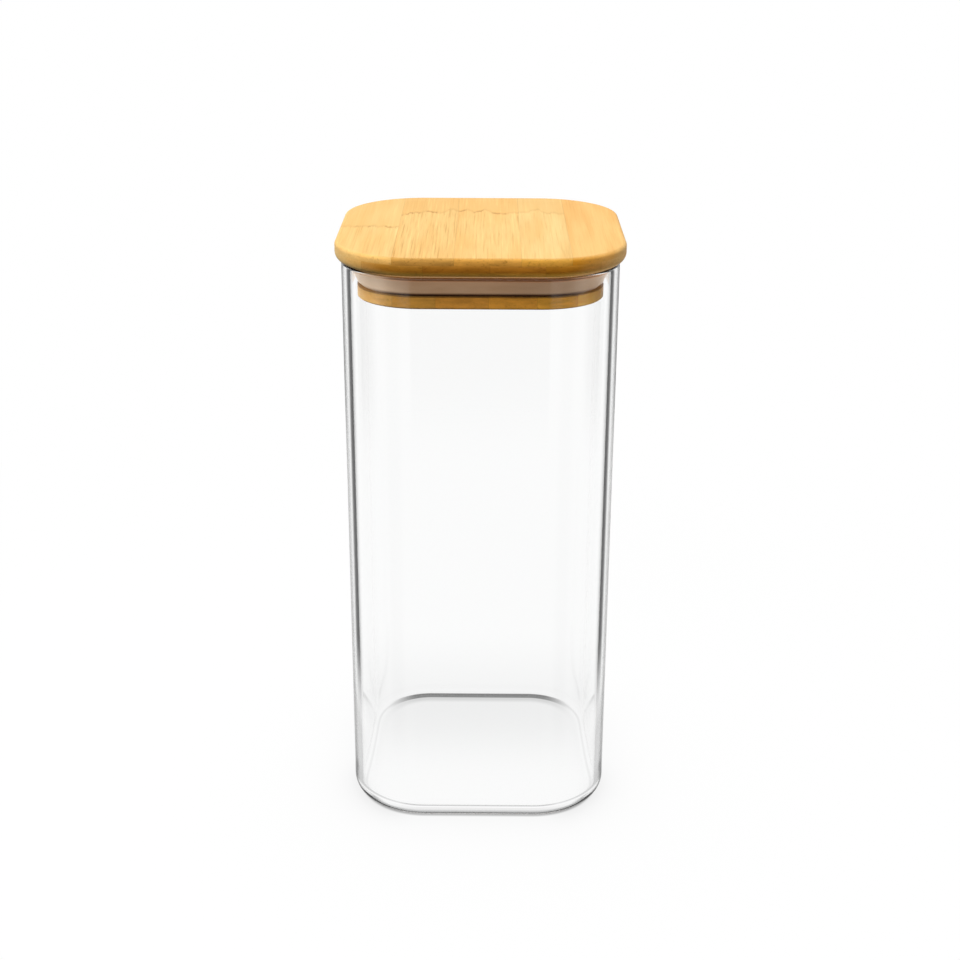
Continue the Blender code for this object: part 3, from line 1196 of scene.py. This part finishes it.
def floor_shading(y, reach, deep):
    """The shade on the jar's floor, deeper towards the back and under the foot's inner slope."""
    share = FLOOR_FRONT + y.smooth(-0.03, 0.02) * (1 - FLOOR_FRONT)
    floor = reach.smooth(0.0460, 0.0430) * share * FLOOR_SHADE
    behind = y.smooth(-0.02, 0.045) * (y.smooth(0.12, 0.045) * INNER_SHADE + REAR_SHADE)
    return floor + behind + (1 - deep) * reach.smooth(0.0375, 0.0335) * FOOT_SHADE


print("the floor's shade takes up to", round(FLOOR_SHADE + INNER_SHADE + REAR_SHADE, 3))

# %% Shade what the glass mirrors
BLUR_NEAR = 0.80
BLUR_FAR = 0.33
BLUR_FRONT = 0.8


def mirrored_shading(x, y, reach):
    """What glass that mirrors the table near the foot sees: a blurred dark ring."""
    front = y.smooth(-0.040, -0.046) * abs(x).smooth(0.040, 0.026) * BLUR_FRONT
    near = reach.smooth(0.062, 0.056) * (y.smooth(-0.022, -0.008) + front) * BLUR_NEAR
    far = reach.smooth(0.100, 0.080) * BLUR_FAR
    return reach.smooth(0.0445, 0.0505) * near.most(far)


print("the mirrored ring takes", BLUR_NEAR, "near the foot and", BLUR_FAR, "further out")

# %% Shade the table round the foot
CONTACT_DARK = 0.45
HALO_DARK = 0.04
HALO_FADE = 0.010
CORNER_MIRROR = 0.55
CORNER_MIRROR_FADE = 0.6
CORNER_HALO = 0.17
CORNER_FADE = 0.0040
CORNER_START = 0.0455


def straight_shading(x, y, reach, mirrored):
    """The contact shadow and the soft shadow round the foot, with more beside the front corners."""
    contact = reach.smooth(0.0482, 0.0466) * CONTACT_DARK
    halo = ((reach - GLASS_HALF) / -HALO_FADE).maths("EXPONENT").least(1.0) * HALO_DARK
    front = y.smooth(0.0, -0.02)
    corner_halo = ((reach - CORNER_START) / -CORNER_FADE).maths("EXPONENT").least(1.0)
    corner_halo = corner_halo * abs(x).smooth(0.024, 0.038) * front * CORNER_HALO
    corner_mirror = mirrored * reach.smooth(0.068, 0.056) * abs(x).smooth(0.026, 0.038)
    fade = 1 - y.smooth(-0.038, -0.050) * CORNER_MIRROR_FADE
    corner_mirror = corner_mirror * front * fade * CORNER_MIRROR
    return (contact + halo + corner_halo).most(corner_mirror)


print("the contact shadow takes", CONTACT_DARK, "of the light under the foot")

# %% [markdown]
# ## Kinds of ray
#
# Light Path counts how often a ray was scattered, mirrored or let through before it came here. A
# depth over one half means at least once, and so on. Further out, a ray that the glass mirrored
# finds no table, because the studio's walls stand there.

# %% Make the table's paper
TABLE_PAPER = (0.85, 0.85, 0.85, 1)
TABLE_SHADE = 0.04
SHADE_NEAR = 0.12
SHADE_FAR = 0.45
SCATTER_FLOOR = 0.08
GUIDED_TABLE = 0.45
MIRROR_NEAR = 0.07
MIRROR_FAR = 0.16
ONCE = 0.5  # a ray's depth is over this level after one such event
TWICE = 1.5
DEEP = 2.5  # passed through more than one sheet of glass


def table_material():
    """White paper that glows, with the shades for each kind of ray."""
    white, graph = material_of("white_table")
    place = graph.place()
    x, y, _ = graph.axes(place)
    distance = graph.node("ShaderNodeVectorMath", {"operation": "LENGTH"}, {0: place}, "Value")
    reach = reach_of(graph, place)
    scattered = graph.path("Diffuse Depth").over(ONCE)
    through = graph.path("Transmission Depth").over(ONCE)
    deep = graph.path("Transmission Depth").over(DEEP)
    fresh = (1 - scattered) * (1 - deep)
    mirrored = graph.path("Glossy Depth").over(ONCE) * fresh
    guided = graph.path("Glossy Depth").over(TWICE) * fresh

    seen_inside = (foot_lines(x, y, reach) + floor_shading(y, reach, deep)) * (1 - mirrored)
    seen_mirrored = mirrored_shading(x, y, reach) * mirrored
    level = 1 - scattered * (1 - SCATTER_FLOOR)
    level = level * (1 - (seen_inside + seen_mirrored) * through)
    level = level * (1 - straight_shading(x, y, reach, mirrored) * (1 - through))
    level = level * (1 - guided * (1 - GUIDED_TABLE))
    glow = graph.node("ShaderNodeEmission", None, {"Color": WHITE, "Strength": level})
    paper = graph.node("ShaderNodeBsdfDiffuse", None, {"Color": TABLE_PAPER})
    share = TABLE_SHADE * distance.smooth(SHADE_FAR, SHADE_NEAR)
    lit = graph.node("ShaderNodeMixShader", None, {0: share, 1: glow, 2: paper})
    open_floor = graph.node("ShaderNodeBsdfTransparent")
    away = mirrored * distance.smooth(MIRROR_NEAR, MIRROR_FAR)
    surface(graph, graph.node("ShaderNodeMixShader", None, {0: away, 1: lit, 2: open_floor}))
    return white


print("the table keeps", TABLE_SHADE, "of real shading near the jar")

# %% Lay the table
TABLE_HALF = 6.0


def make_table():
    """One large square at height 0."""
    corners = [(x * TABLE_HALF, y * TABLE_HALF, 0) for x, y in ((-1, -1), (1, -1), (1, 1), (-1, 1))]
    mesh = bpy.data.meshes.new("table")
    mesh.from_pydata(corners, [], [(0, 1, 2, 3)])
    mesh.materials.append(table_material())
    table = bpy.data.objects.new("table", mesh)
    bpy.context.scene.collection.objects.link(table)
    return table


print("made the", make_table().name, "that spans", 2 * TABLE_HALF, "metres")

# %% [markdown]
# ## Studio
#
# Light that was mirrored by the glass sees a studio with dark corners between four white walls. The
# dark corners draw the thin grey lines along the glass, as they do in a photographer's studio. Real
# boards round the jar could do it, but they would show in other views. The world does it by
# direction, with a dark patch low on each wall that keeps the middle of the glass clear. Light that
# scatters off the wood and the seal sees a darker world from the front and below.

# %% Build the studio
GUIDED_WORLD = 0.25
WALL_EDGE = 29.0
CORNER_EDGE = 40.0
CORNER_LEVEL = 0.03
PATCH_SIDE = 14.0
PATCH_SOFT = 5.0
PATCH_LEVEL = 0.05
AMBIENT_LEAST = 0.05
AMBIENT_ABOVE = 0.55
AMBIENT_BEHIND = 0.25
IN_DEGREES = 180 / math.pi


def studio_world():
    """A white world for the eye, with walls and corners for mirrored rays, dimmer for wood."""
    world = bpy.data.worlds.new("studio")
    world.use_nodes = True
    world.node_tree.nodes.clear()
    graph = Graph(world.node_tree)
    direction = graph.node("ShaderNodeTexCoord", None, None, "Generated")
    side, ahead, above = graph.axes(direction)
    ambient = AMBIENT_LEAST + above.smooth(0.1, 1.0) * AMBIENT_ABOVE
    ambient = ambient + ahead.smooth(-0.2, 0.9) * AMBIENT_BEHIND
    scattering = graph.path("Is Diffuse Ray")
    scattered = graph.path("Diffuse Depth").over(ONCE)
    turned = graph.path("Glossy Depth").over(ONCE)
    guided = graph.path("Glossy Depth").over(TWICE)
    through = graph.path("Transmission Depth").over(ONCE)
    deep = graph.path("Transmission Depth").over(DEEP)

    lesser = abs(side).least(abs(ahead))
    greater = abs(side).most(abs(ahead))
    azimuth = lesser.maths("ARCTAN2", greater) * IN_DEGREES
    elevation = above.maths("ARCSINE") * IN_DEGREES
    corner = azimuth.smooth(WALL_EDGE, CORNER_EDGE) * through
    patch = elevation.smooth(-17, -21) * elevation.smooth(-34, -28)
    middle = azimuth.smooth(PATCH_SIDE + PATCH_SOFT, PATCH_SIDE) * elevation.smooth(2, -4)
    middle = middle * (1 - patch)
    walls = 1 - guided * (1 - GUIDED_WORLD)
    walls = walls * (1 - corner * (1 - CORNER_LEVEL)) * (1 - middle * (1 - PATCH_LEVEL))
    seen = (1 - scattered) * (1 - turned * (1 - deep) * (1 - walls))
    strength = seen + scattering * ambient
    background = graph.node("ShaderNodeBackground", None, {"Color": WHITE, "Strength": strength})
    graph.node("ShaderNodeOutputWorld", None, {"Surface": background})
    return world


bpy.context.scene.world = studio_world()
print("the world is the", bpy.context.scene.world.name)

# %% [markdown]
# ## Lamps
#
# Four soft lamps shape the lid, each from one side. The glass would mirror them as bright squares
# that the real jar doesn't show, so they are hidden from the eye, from mirrored rays and from rays
# that pass through.

# %% Set the lamps
LAMP_TARGET = (0, 0, 0.15)


def lamp(name, place, size, power, target=LAMP_TARGET):
    """A soft rectangle of light that faces its target, and that glass doesn't mirror."""
    light = bpy.data.lights.new(name, "AREA")
    light.shape = "RECTANGLE"
    light.size, light.size_y = size
    light.energy = power
    thing = bpy.data.objects.new(name, light)
    turn = (Vector(target) - Vector(place)).to_track_quat("-Z", "Y")
    thing.matrix_world = Matrix.Translation(place) @ turn.to_matrix().to_4x4()
    thing.visible_camera = False
    thing.visible_glossy = False
    thing.visible_transmission = False
    bpy.context.scene.collection.objects.link(thing)
    return thing


lamps = [
    lamp("overhead_lamp", (0, 0.2, 1.2), (0.8, 0.6), 5),
    lamp("front_lamp", (-0.3, -0.9, 1.1), (0.6, 0.5), 9),
    lamp("left_lamp", (-1.0, -0.05, 0.45), (0.3, 0.3), 4),
    lamp("right_lamp", (0.9, -0.25, 0.10), (0.3, 0.3), 1.6, (0, 0, 0.2)),
]
print("lamps:", [thing.name for thing in lamps])
